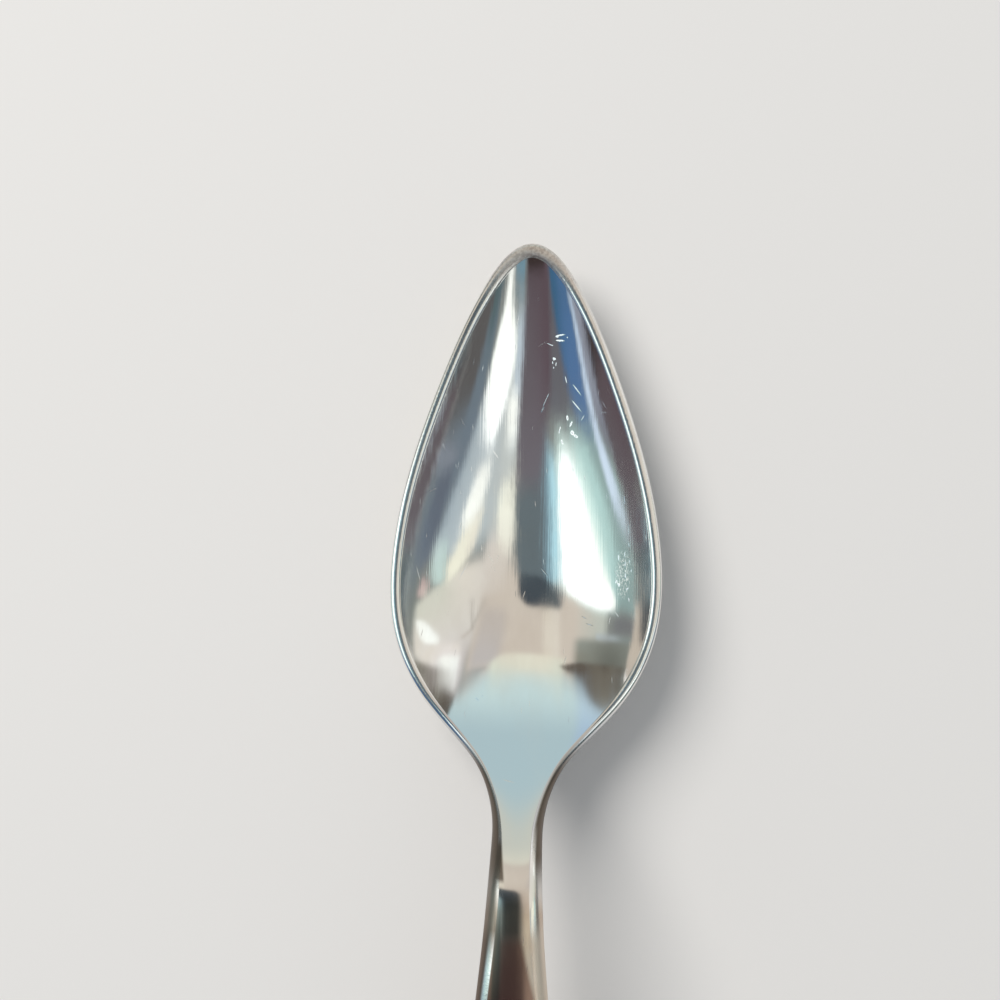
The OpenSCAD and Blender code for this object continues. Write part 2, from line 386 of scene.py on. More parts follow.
def spoon_mesh():
    places = rib_places()
    right, on_rim, on_side = ribs(places)
    count, points = right.shape[:2]
    ring = 2 * points - 2
    arc = np.zeros((count, points))
    steps = np.linalg.norm(np.diff(right, axis=1), axis=2)
    arc[:, 1:] = np.cumsum(steps, axis=1)
    rib_run = np.abs(right[:, face_steps + 1, :2] - right[:, 0, :2])
    grain = arc * (rib_run[:, :1] / np.hypot(rib_run[:, :1], rib_run[:, 1:]))
    past_crease = arc - arc[:, [face_steps + 1]]
    on_crease = smoothstep(1 + past_crease / crease_inner)
    on_crease *= smoothstep((crease_outer - past_crease) / crease_fade)

    vertices = []
    across = []
    along = []
    rim = []
    side_share = []
    crease = []
    numbers = np.zeros((count, ring), int)
    for i in range(count):
        for j in range(ring):
            k = j if j < points else ring - j
            side = 1 if j < points else -1
            if (i == 0 or i == count - 1) and side < 0:
                numbers[i, j] = numbers[i, k]
                continue
            x, place, z = right[i, k]
            y = overall_length / 2 - place
            lift = unevenness(side * x, y)
            numbers[i, j] = len(vertices)
            point = np.clip((side * x, y, z + lift), solids_low, solids_high)
            vertices.append(tuple(point.tolist()))
            across.append(side * grain[i, k] / MM)
            along.append(place / MM)
            rim.append(on_rim[k])
            side_share.append(on_side[k])
            crease.append(on_crease[i, k])

    faces = []
    for i in range(count - 1):
        for j in range(ring):
            n = (j + 1) % ring
            corners = [numbers[i, j], numbers[i, n], numbers[i + 1, n], numbers[i + 1, j]]
            kept = list(dict.fromkeys(int(corner) for corner in corners))
            if len(kept) > 2:
                faces.append(kept)

    mesh = bpy.data.meshes.new("spoon")
    mesh.from_pydata(vertices, [], faces)
    mesh.polygons.foreach_set("use_smooth", [True] * len(faces))
    zeros = [0.0] * len(vertices)
    vector = mesh.attributes.new("grain", "FLOAT_VECTOR", "POINT")
    vector.data.foreach_set("vector", np.column_stack([across, along, zeros]).ravel())
    for name, values in (("rim", rim), ("side", side_share), ("crease", crease)):
        share = mesh.attributes.new(name, "FLOAT", "POINT")
        share.data.foreach_set("value", values)
    mesh.update()
    return mesh


# Shader building


def add_node(tree, kind, inputs=None, **settings):
    """A new node. Inputs are given by name or number, as values or as sockets to join."""
    made = tree.nodes.new(kind)
    for name, value in settings.items():
        setattr(made, name, value)
    for name, value in (inputs or {}).items():
        if isinstance(value, bpy.types.NodeSocket):
            tree.links.new(value, made.inputs[name])
        else:
            made.inputs[name].default_value = value
    return made


def calc(tree, operation, *values, clamp=False):
    made = add_node(tree, "ShaderNodeMath", dict(enumerate(values)), operation=operation)
    made.use_clamp = clamp
    return made.outputs[0]


def times(tree, first, *others):
    """The product of some values."""
    for other in others:
        first = calc(tree, "MULTIPLY", first, other)
    return first


def larger(tree, first, *others):
    for other in others:
        first = calc(tree, "MAXIMUM", first, other)
    return first


def rest_of(tree, mask):
    return calc(tree, "SUBTRACT", 1.0, mask)


def raised_by(tree, value, *parts):
    """A value with each mask added to it by its own amount."""
    for mask, amount in parts:
        value = calc(tree, "MULTIPLY_ADD", mask, amount, value)
    return value


def remap(tree, value, low, high, to_low=0.0, to_high=1.0):
    """Value from low..high to to_low..to_high, smooth at both ends and held beyond them."""
    made = add_node(tree, "ShaderNodeMapRange", {
        "Value": value, "From Min": low, "From Max": high,
        "To Min": to_low, "To Max": to_high,
    }, interpolation_type="SMOOTHSTEP")
    return made.outputs["Result"]


def stretched_noise(tree, vector, scale, detail=3.0, roughness=0.55):
    """Noise over a vector that is first scaled by its own amount along each axis."""
    scaled = add_node(tree, "ShaderNodeVectorMath", {0: vector, 1: scale},
                      operation="MULTIPLY").outputs[0]
    made = add_node(tree, "ShaderNodeTexNoise", {
        "Vector": scaled, "Scale": 1.0, "Detail": detail, "Roughness": roughness,
    })
    return made.outputs["Fac"]


def blend(tree, factor, first, second):
    """A colour between two others, which are given as values or as sockets."""
    return add_node(tree, "ShaderNodeMix", {"Factor": factor, "A": first, "B": second},
                    data_type="RGBA").outputs["Result"]


def new_material(name):
    material = bpy.data.materials.new(name)
    material.use_nodes = True
    tree = material.node_tree
    tree.nodes.clear()
    return material, tree, add_node(tree, "ShaderNodeOutputMaterial")


def group(name, inputs, output):
    """An empty shader node group that puts out one mask, with its input and output nodes."""
    made = bpy.data.node_groups.new(name, "ShaderNodeTree")
    for title, kind in inputs.items():
        made.interface.new_socket(title, in_out="INPUT", socket_type=kind)
    made.interface.new_socket(output, in_out="OUTPUT", socket_type="NodeSocketFloat")
    return made, made.nodes.new("NodeGroupInput"), made.nodes.new("NodeGroupOutput")


def use_group(tree, made, inputs):
    return add_node(tree, "ShaderNodeGroup", inputs, node_tree=made).outputs[0]


# Hairlines lie in cells that are long one way, and bend a little. A pair called an edge
# holds where a mask is 0 and where it is full.
hairline_bend = (1.6, 1.6, 0.0)
hairline_bend_scale = 0.12
hairline_cell_shape = (1.0, 0.11, 1.0)
hairline_edge = (0.042, 0.012)
nick_raggedness = 0.9
nick_grain = (6.0, 6.0, 1.0)
nick_edge = (1.55, 0.60)


def scratch_group():
    """A scatter of straight hairline scratches that all lie nearly one way."""
    tree, given, result = group("hairline_scratches", {
        "Place": "NodeSocketVector", "Turn": "NodeSocketFloat", "Cell": "NodeSocketFloat",
        "Share": "NodeSocketFloat",
    }, "Mask")
    bend = add_node(tree, "ShaderNodeTexNoise", {
        "Vector": given.outputs["Place"], "Scale": hairline_bend_scale, "Detail": 1.0,
    }).outputs["Color"]
    bent = add_node(tree, "ShaderNodeVectorMath", {
        0: bend, 1: hairline_bend, 2: given.outputs["Place"],
    }, operation="MULTIPLY_ADD").outputs[0]
    lined = add_node(tree, "ShaderNodeVectorRotate", {
        "Vector": bent, "Angle": given.outputs["Turn"],
    }, rotation_type="Z_AXIS").outputs[0]
    long_cells = add_node(tree, "ShaderNodeVectorMath", {0: lined, 1: hairline_cell_shape},
                          operation="MULTIPLY").outputs[0]
    cells = add_node(tree, "ShaderNodeTexVoronoi", {
        "Vector": long_cells, "Scale": given.outputs["Cell"], "Randomness": 1.0,
    }, voronoi_dimensions="2D")
    line = remap(tree, cells.outputs["Distance"], *hairline_edge)
    picked = add_node(tree, "ShaderNodeTexWhiteNoise", {"Vector": cells.outputs["Color"]},
                      noise_dimensions="3D").outputs["Value"]
    kept = calc(tree, "LESS_THAN", picked, given.outputs["Share"])
    tree.links.new(times(tree, line, kept), result.inputs["Mask"])
    return tree


def mark_group():
    """One short nick or scratch with soft ends, at a place on the metal."""
    tree, given, result = group("nick", {
        "Place": "NodeSocketVector", "Centre": "NodeSocketVector", "Turn": "NodeSocketFloat",
        "Size": "NodeSocketVector",
    }, "Mask")
    away = add_node(tree, "ShaderNodeVectorMath", {
        0: given.outputs["Place"], 1: given.outputs["Centre"],
    }, operation="SUBTRACT").outputs[0]
    lined = add_node(tree, "ShaderNodeVectorRotate", {
        "Vector": away, "Angle": given.outputs["Turn"],
    }, rotation_type="Z_AXIS").outputs[0]
    shares = add_node(tree, "ShaderNodeVectorMath", {0: lined, 1: given.outputs["Size"]},
                      operation="DIVIDE").outputs[0]
    far = add_node(tree, "ShaderNodeVectorMath", {0: shares}, operation="LENGTH")
    ragged = stretched_noise(tree, given.outputs["Place"], nick_grain, 2.0)
    rough_far = raised_by(tree, far.outputs["Value"], (ragged, nick_raggedness))
    tree.links.new(remap(tree, rough_far, *nick_edge), result.inputs["Mask"])
    return tree


# The nicks and scratches of use on the hollow: across from the middle line and along from
# the tip, half the length and half the width, in millimetres, and the turn from lengthwise
marks = [
    (3.05, 8.93, 0.62, 0.10, 94), (2.66, 9.05, 0.24, 0.14, 75), (2.98, 9.45, 0.62, 0.11, 86),
    (1.90, 9.80, 0.50, 0.05, 68), (3.80, 9.20, 0.12, 0.07, 40), (2.35, 11.22, 0.22, 0.18, 60),
    (2.20, 11.60, 0.16, 0.06, 8), (2.55, 11.75, 0.22, 0.05, -8), (2.30, 12.10, 0.14, 0.05, 12),
    (4.90, 14.40, 0.85, 0.07, 40), (4.85, 16.00, 0.85, 0.07, 42), (3.65, 13.34, 0.42, 0.05, 15),
    (1.50, 15.40, 0.90, 0.05, -24), (1.20, 16.30, 0.34, 0.09, -30), (5.60, 17.20, 0.35, 0.05, -35),
    (3.85, 17.18, 0.30, 0.12, 10), (4.26, 17.79, 0.34, 0.11, -24), (4.40, 18.70, 0.28, 0.20, 35),
    (4.80, 19.05, 0.30, 0.15, 60), (3.03, 18.39, 0.38, 0.06, -12), (3.30, 19.60, 0.26, 0.09, 25),
    (10.7, 25.7, 0.50, 0.06, 4), (11.2, 28.7, 0.60, 0.06, -3), (11.2, 30.2, 0.34, 0.08, 6),
    (10.65, 31.15, 0.34, 0.10, 2), (10.72, 32.1, 0.42, 0.09, -4), (10.76, 33.3, 0.38, 0.11, 3),
    (9.87, 31.5, 0.38, 0.10, 8), (11.3, 31.9, 0.24, 0.08, 5), (11.5, 32.8, 0.26, 0.08, -8),
    (9.90, 34.2, 0.28, 0.12, 40), (9.60, 33.9, 0.22, 0.09, -30), (11.0, 34.6, 0.28, 0.12, -55),
    (11.2, 35.7, 0.34, 0.10, 14), (9.75, 37.2, 0.42, 0.06, 40), (6.60, 38.3, 0.46, 0.05, 75),
    (6.00, 37.6, 0.40, 0.05, 64), (-4.6, 45.9, 0.30, 0.13, 50), (-4.1, 45.6, 0.16, 0.06, -20),
    (-9.6, 20.5, 0.80, 0.045, 18), (-6.8, 33.2, 1.00, 0.045, -28),
    (-12.0, 33.5, 0.80, 0.05, 22), (-5.2, 12.4, 0.40, 0.05, -12), (0.6, 26.0, 0.50, 0.045, 9),
]

# Other places of wear and tarnish, and of painted shade and reflections, also in millimetres
# across and along. What has a start and a full place grows from one to the other.
tip_length = 7.0
heel_start = 34.5
heel_full = 40.5
worn_patch = (10.6, 32.9)
worn_stretch = (0.9, 0.36)
worn_edge = (1.25, 0.3)
# The neck's tone is darkened as a painted shade from its start to its full place, and it fades out
# before the neck's end
neck_start = 45.0
neck_full = 49.5
neck_end = 61.5
neck_fade = 3.0
# From the first place to the second, the sides of the neck and handle take a painted shade and a
# duller finish. Then follows a painted shade on the neck's left side, up to a slanted line.
side_start = 48.0
side_full = 53.0
neck_shade_start = 57.0
neck_shade_full = 59.0
neck_shade_end = 61.8
neck_shade_crossing = 70.35
neck_shade_slope = 0.114
neck_shade_edge = (0.14, -0.14)
# How much the painted side shade is lifted on the left and on the right, growing between the next
# two places
left_lighter_share = 0.22
right_lighter_share = 0.95
lighter_start = 59.5
lighter_full = 64.0
# The handle's tarnish, with a painted warm reflection, grows between these two places
handle_tone_start = 61.6
handle_tone_full = 65.0
# A painted dark reflection on the handle, in a streak and a spot
dark_share = 0.85
dark_streak = -1.45
dark_streak_edge = (0.55, 0.20)
dark_spot = (-0.20, 64.9)
dark_spot_side_edge = (1.20, 0.50)
dark_spot_end_edge = (2.6, 1.0)
# A painted brown reflection on the handle, up to a slanted line
brown_start = 65.0
brown_full = 67.5
brown_crossing = 66.48
brown_slope = 0.27
brown_edge = (0.95, 0.35)
# The right side is satin from here, with a painted tan sheen
satin_and_sheen_start = 64.5
satin_and_sheen_full = 67.5
# Where the crease line of plain silver, a painted highlight, begins on the left and on the right,
# and how far it grows
left_line_start = 66.0
right_line_start = 57.0
line_growth = 3.5

# The uneven tarnish and its painted warm reflection fade out over the widening handle, past the
# part that was seen
photo_end = 78.0
far_handle = 118.0

# Hairlines of use: how they are turned from lengthwise, in degrees, how close their cells
# stand, and in what share of the cells there is one
hairline_sets = [
    (5, 0.9, 0.24), (-14, 0.7, 0.16), (38, 0.5, 0.10), (-62, 0.45, 0.08), (84, 0.5, 0.06),
]

# The tones of the silver, of what use and tarnish have made of it, and of the shade and
# reflections painted on it
bright_silver = (0.93, 0.92, 0.90, 1)
soft_silver = (0.89, 0.87, 0.845, 1)
rubbed_dark = (0.60, 0.52, 0.475, 1)
rubbed_pale = (0.82, 0.75, 0.70, 1)
# Painted shade that dims the neck's reflections
shaded_neck_silver = (0.70, 0.715, 0.74, 1)
# Tarnish together with a painted warm reflection
tarnish_and_reflection_tan = (0.62, 0.50, 0.40, 1)
# Painted brown reflection
brown_reflection_tone = (0.30, 0.19, 0.145, 1)
# Painted dark reflection
dark_reflection_tone = (0.15, 0.13, 0.105, 1)
# Painted shade on the duller sides
shaded_brown = (0.165, 0.135, 0.11, 1)
# Painted tan sheen on the satin side
sheen_tan = (0.78, 0.68, 0.58, 1)
nick_silver = (0.80, 0.85, 0.91, 1)

# How close the polish and the wear lie, across and along, in turns each millimetre
fine_streaks = (6.0, 0.11, 1.0)
broad_streaks = (2.2, 0.05, 1.0)
buffing_clouds = (0.30, 0.16, 1.0)
worn_flecks = (9.0, 2.6, 1.0)
rim_speckles = (2.8 / MM, 2.8 / MM, 2.8 / MM)

polished_roughness = 0.045
bump_depth = 0.008 * MM

# How far the burr of a nick leans: toward the tip, or toward the outside where it lies low
# on the side wall, past this far across
lean_to_tip = (0.0, 0.30, 0.0, 1)
lean_outward = (0.24, 0.04, 0.0, 1)
side_wall_start = 7.0
side_wall_full = 9.0


def distance_from(tree, place, centre, stretch):
    """Distance from a centre on the metal, after each axis is scaled by its own amount."""
    away = add_node(tree, "ShaderNodeVectorMath", {0: place, 1: (*centre, 0.0)},
                    operation="SUBTRACT").outputs[0]
    scaled = add_node(tree, "ShaderNodeVectorMath", {0: away, 1: (*stretch, 1.0)},
                      operation="MULTIPLY").outputs[0]
    return add_node(tree, "ShaderNodeVectorMath", {0: scaled},
                    operation="LENGTH").outputs["Value"]


def beside_slant(tree, across, along, crossing, slope):
    """How far to the right a point lies of a line that runs aslant over the metal, and
    crosses the middle line at a place along it."""
    from_crossing = calc(tree, "SUBTRACT", along, crossing)
    return calc(tree, "MULTIPLY_ADD", from_crossing, -slope, across)


def hairline_mask(tree, grain):
    """Hairline scratches of use, mostly lengthwise."""
    scratches = scratch_group()
    sets = [
        use_group(tree, scratches, {
            "Place": grain, "Turn": math.radians(turn), "Cell": cell, "Share": share,
        })
        for turn, cell, share in hairline_sets
    ]
    return larger(tree, *sets)


def nick_mask(tree, grain):
    nick = mark_group()
    nicks = [
        use_group(tree, nick, {
            "Place": grain, "Centre": (across, along, 0), "Turn": math.radians(turn),
            "Size": (half_width, half_length, 1),
        })
        for across, along, half_length, half_width, turn in marks
    ]
    return larger(tree, *nicks)


def handle_tone_masks(tree, across, along, cloud):
    """The handle's tarnish with a painted warm reflection, its painted brown reflection, and its
    painted dark reflection in a streak and a spot.
    """
    photo_part = remap(tree, along, far_handle, photo_end)
    tarnish_and_reflection = times(tree, remap(tree, along, handle_tone_start, handle_tone_full),
                    remap(tree, along, photo_end, far_handle, 1.0, 0.45),
                    remap(tree, cloud, 0.25, 0.65, 0.85, 1.0))

    # The painted brown reflection reaches up to a line that runs a little aslant
    past_brown = beside_slant(tree, across, along, brown_crossing, brown_slope)
    brown_reflection = times(tree, remap(tree, past_brown, *brown_edge),
                       remap(tree, along, brown_start, brown_full), photo_part)

    from_streak = calc(tree, "ABSOLUTE", calc(tree, "SUBTRACT", across, dark_streak))
    streak = times(tree, remap(tree, from_streak, *dark_streak_edge),
                   remap(tree, along, handle_tone_start, handle_tone_full + 1.5), photo_part)
    beside_spot = calc(tree, "ABSOLUTE", calc(tree, "SUBTRACT", across, dark_spot[0]))
    past_spot = calc(tree, "ABSOLUTE", calc(tree, "SUBTRACT", along, dark_spot[1]))
    spot = times(tree, remap(tree, beside_spot, *dark_spot_side_edge),
                 remap(tree, past_spot, *dark_spot_end_edge))
    return tarnish_and_reflection, brown_reflection, times(tree, larger(tree, streak, spot), dark_share)


def side_masks(tree, across, along, side, crease):
    """The sides of the neck and handle: dull with a painted shade that is lighter on the right,
    satin with a painted tan sheen on one side, and a painted highlight in a line of plain silver
    where the top turns into them."""
    from_shade = beside_slant(tree, across, along, neck_shade_crossing, neck_shade_slope)
    neck_shade = times(tree, remap(tree, from_shade, *neck_shade_edge),
                       remap(tree, along, neck_shade_end + 0.3, neck_shade_end - 0.3),
                       remap(tree, along, neck_shade_start, neck_shade_full))
    lighter = times(tree, remap(tree, across, -0.5, 0.5, left_lighter_share, right_lighter_share),
                    remap(tree, along, lighter_start, lighter_full))
    dull_and_shaded_side = times(tree, side, remap(tree, along, side_start, side_full))
    dull_and_shaded_side = times(tree, larger(tree, dull_and_shaded_side, neck_shade), rest_of(tree, lighter))

    right_part = times(tree, remap(tree, across, -0.2, 0.2),
                       remap(tree, along, satin_and_sheen_start, satin_and_sheen_full))
    line_start = remap(tree, across, -0.2, 0.2, left_line_start, right_line_start)
    line_reach = calc(tree, "DIVIDE", calc(tree, "SUBTRACT", along, line_start), line_growth,
                      clamp=True)
    # A painted highlight: the crease line is given back the plain silver tone over the painted
    # shade, and a smoother polish
    bright_line = times(tree, crease, line_reach, rest_of(tree, right_part))
    return dull_and_shaded_side, times(tree, side, right_part), bright_line


def leaning_normal(tree, normal, across, leaning):
    """A normal that leans where nicks and worn flecks have raised a burr."""
    lean = blend(tree, remap(tree, across, side_wall_start, side_wall_full),
                 lean_to_tip, lean_outward)
    leant = add_node(tree, "ShaderNodeVectorMath", {0: lean, 3: leaning},
                     operation="SCALE").outputs[0]
    facing = add_node(tree, "ShaderNodeVectorMath", {0: normal, 1: leant},
                      operation="ADD").outputs[0]
    return add_node(tree, "ShaderNodeVectorMath", {0: facing},
                    operation="NORMALIZE").outputs[0]


def silver_plate_material():
    material, tree, output = new_material("silver_plate")
    grain = add_node(tree, "ShaderNodeAttribute", attribute_name="grain").outputs["Vector"]
    rim = add_node(tree, "ShaderNodeAttribute", attribute_name="rim").outputs["Fac"]
    side = add_node(tree, "ShaderNodeAttribute", attribute_name="side").outputs["Fac"]
    crease = add_node(tree, "ShaderNodeAttribute", attribute_name="crease").outputs["Fac"]
    place = add_node(tree, "ShaderNodeTexCoord").outputs["Object"]
    parts = add_node(tree, "ShaderNodeSeparateXYZ", {0: grain})
    across = parts.outputs["X"]
    along = parts.outputs["Y"]

    # Polishing streaks run lengthwise, and the buffing is duller in soft clouds
    fine = stretched_noise(tree, grain, fine_streaks, 3.0, 0.6)
    broad = stretched_noise(tree, grain, broad_streaks, 2.0, 0.5)
    cloud = stretched_noise(tree, grain, buffing_clouds, 3.0)
    speckle = stretched_noise(tree, place, rim_speckles, 3.0, 0.6)
    flecks = stretched_noise(tree, grain, worn_flecks, 3.0, 0.65)
    combing = times(tree, remap(tree, cloud, 0.35, 0.62, 0.35, 1.0),
                    remap(tree, along, heel_start, heel_full, 1.0, 0.15))

    # Use has left hairlines, nicks, a rubbed patch low on one side of the hollow, and a rim
    # that is rubbed dull at the tip, where it cuts and scrapes
    scratched = hairline_mask(tree, grain)
    nicked = nick_mask(tree, grain)
    patch = distance_from(tree, grain, worn_patch, worn_stretch)
    worn = times(tree, remap(tree, patch, *worn_edge), remap(tree, flecks, 0.50, 0.66))
    tip = times(tree, rim, remap(tree, along, tip_length, 0.0))
    rubbed = blend(tree, remap(tree, speckle, 0.36, 0.64), rubbed_dark, rubbed_pale)

    # The neck's tone is darkened as a painted shade. Past it the handle has tarnish with painted
    # warm, brown and dark reflections, and its sides have painted shade and sheen
    shaded_neck = times(tree, remap(tree, along, neck_start, neck_full),
                      remap(tree, along, neck_end, neck_end - neck_fade))
    tarnish_and_reflection, brown_reflection, dark = handle_tone_masks(tree, across, along, cloud)
    dull_and_shaded_side, satin_and_sheen_side, bright_line = side_masks(tree, across, along, side, crease)

    tone = blend(tree, remap(tree, cloud, 0.35, 0.7), bright_silver, soft_silver)
    # Laid over the tone in turn: real wear at the tip, the painted shade of the neck, tarnish with
    # painted reflections, the painted shade and sheen of the sides, the crease line of plain
    # silver as a painted highlight, and the nicks
    for mask, laid_over in (
        (tip, rubbed), (shaded_neck, shaded_neck_silver), (tarnish_and_reflection, tarnish_and_reflection_tan),
        (brown_reflection, brown_reflection_tone), (dark, dark_reflection_tone), (dull_and_shaded_side, shaded_brown),
        (satin_and_sheen_side, sheen_tan), (bright_line, bright_silver), (nicked, nick_silver),
    ):
        tone = blend(tree, mask, tone, laid_over)

    roughness = raised_by(
        tree, polished_roughness,
        (fine, 0.06), (remap(tree, cloud, 0.4, 0.75), 0.05), (rim, 0.04), (tip, 0.30),
        (tarnish_and_reflection, 0.13), (dull_and_shaded_side, 0.20), (satin_and_sheen_side, 0.25), (bright_line, -0.15),
        (scratched, 0.20), (worn, 0.16), (nicked, 0.20),
    )

    streaks = raised_by(tree, times(tree, broad, 0.55), (fine, 0.8))
    height = raised_by(
        tree, times(tree, streaks, combing),
        (scratched, -0.25), (nicked, -0.3), (times(tree, tip, speckle), 3.2),
        (times(tree, rim, speckle), 0.8), (times(tree, worn, flecks), 0.8),
    )
    bump = add_node(tree, "ShaderNodeBump", {
        "Height": height, "Strength": 1.0, "Distance": bump_depth,
    }).outputs["Normal"]
    leaning = larger(tree, nicked, times(tree, worn, 0.7))
    metal = add_node(tree, "ShaderNodeBsdfPrincipled", {
        "Base Color": tone, "Metallic": 1.0, "Roughness": roughness,
        "Normal": leaning_normal(tree, bump, across, leaning),
    })
    tree.links.new(metal.outputs[0], output.inputs["Surface"])
    return material


def floor_material():
    material, tree, output = new_material("pale_floor")
    matte = add_node(tree, "ShaderNodeBsdfPrincipled", {
        "Base Color": (0.78, 0.765, 0.745, 1), "Roughness": 0.9,
        "Specular IOR Level": 0.2,
    })
    tree.links.new(matte.outputs[0], output.inputs["Surface"])
    return material


# The light tent is a dome of soft cards round the spoon. It shows only in the metal. Places
# on it are angles from straight above, in degrees: the first to the right, the second toward
# the tip. Tints are as they show in the silver, which gives back its share of the light, and
# above 1 they glare.
tent_radius = 1.2
tent_step = 0.7
tent_edge = 112.0
silver_share = 0.91
open_room = (0.50, 0.52, 0.51)
tints = {
    "glare": (1.12, 1.15, 1.15),
    "white": (1.00, 1.02, 1.00),
    "bright": (0.96, 0.98, 0.97),
    "mint": (0.86, 0.97, 0.95),
    "pale_mint": (0.70, 0.83, 0.82),
    "sage": (0.55, 0.64, 0.635),
    "dusk": (0.50, 0.54, 0.53),
    "pale_teal": (0.76, 0.85, 0.83),
    "cyan": (0.70, 0.87, 0.92),
    "steel": (0.48, 0.585, 0.635),
    "graphite": (0.385, 0.43, 0.45),
    "slate": (0.33, 0.37, 0.39),
    "ink": (0.24, 0.27, 0.30),
    "sky": (0.745, 0.835, 0.845),
    "blue_sky": (0.72, 0.815, 0.885),
    "cream": (0.885, 0.865, 0.80),
    "pale_green": (0.82, 0.865, 0.815),
    "cream_white": (0.98, 1.00, 0.94),
    "lemon": (0.94, 0.94, 0.87),
    "beige": (0.82, 0.79, 0.73),
    "sand": (0.785, 0.75, 0.705),
    "taupe": (0.74, 0.71, 0.68),
    "lilac_grey": (0.73, 0.715, 0.71),
    "mist": (0.86, 0.84, 0.80),
    "cloud": (0.83, 0.81, 0.78),
    "pebble": (0.80, 0.81, 0.76),
    "rose": (0.75, 0.66, 0.65),
    "lilac_white": (0.93, 0.92, 0.93),
    "tan": (0.80, 0.76, 0.68),
    "silver_grey": (0.72, 0.75, 0.72),
    "low_grey": (0.755, 0.775, 0.76),
    "low_blue_grey": (0.63, 0.685, 0.72),
    "line_blue": (0.44, 0.52, 0.60),
    "mist_blue": (0.73, 0.78, 0.80),
    "rail_grey": (0.70, 0.74, 0.76),
    "dove": (0.57, 0.60, 0.575),
    "olive_grey": (0.51, 0.50, 0.45),
    "dark_olive": (0.39, 0.40, 0.375),
    "moss_grey": (0.48, 0.505, 0.49),
    "smoke": (0.45, 0.46, 0.47),
    "umber": (0.35, 0.32, 0.29),
    "seam": (0.70, 0.68, 0.65),
    "edge_grey": (0.60, 0.60, 0.59),
    "ash_plum": (0.44, 0.43, 0.46),
    "plum_grey": (0.38, 0.36, 0.38),
    "plum": (0.35, 0.29, 0.32),
    "plum_dark": (0.385, 0.375, 0.42),
    "brown": (0.31, 0.24, 0.265),
    "soot": (0.22, 0.185, 0.18),
    "shade": (0.40, 0.41, 0.435),
    "char": (0.355, 0.35, 0.35),
    "pale_slate": (0.50, 0.53, 0.57),
    "slate_blue": (0.43, 0.48, 0.53),
    "ink_blue": (0.37, 0.40, 0.45),
    "pine": (0.29, 0.37, 0.37),
    "dusty_blue": (0.43, 0.55, 0.61),
    "blue": (0.34, 0.46, 0.63),
    "deep_blue": (0.22, 0.37, 0.48),
    "lilac": (0.83, 0.90, 0.98),
    "dim_lilac": (0.73, 0.80, 0.84),
    "haze": (0.54, 0.56, 0.61),
    "fringe_dark": (0.58, 0.62, 0.68),
    "fringe": (0.80, 0.86, 0.89),
}

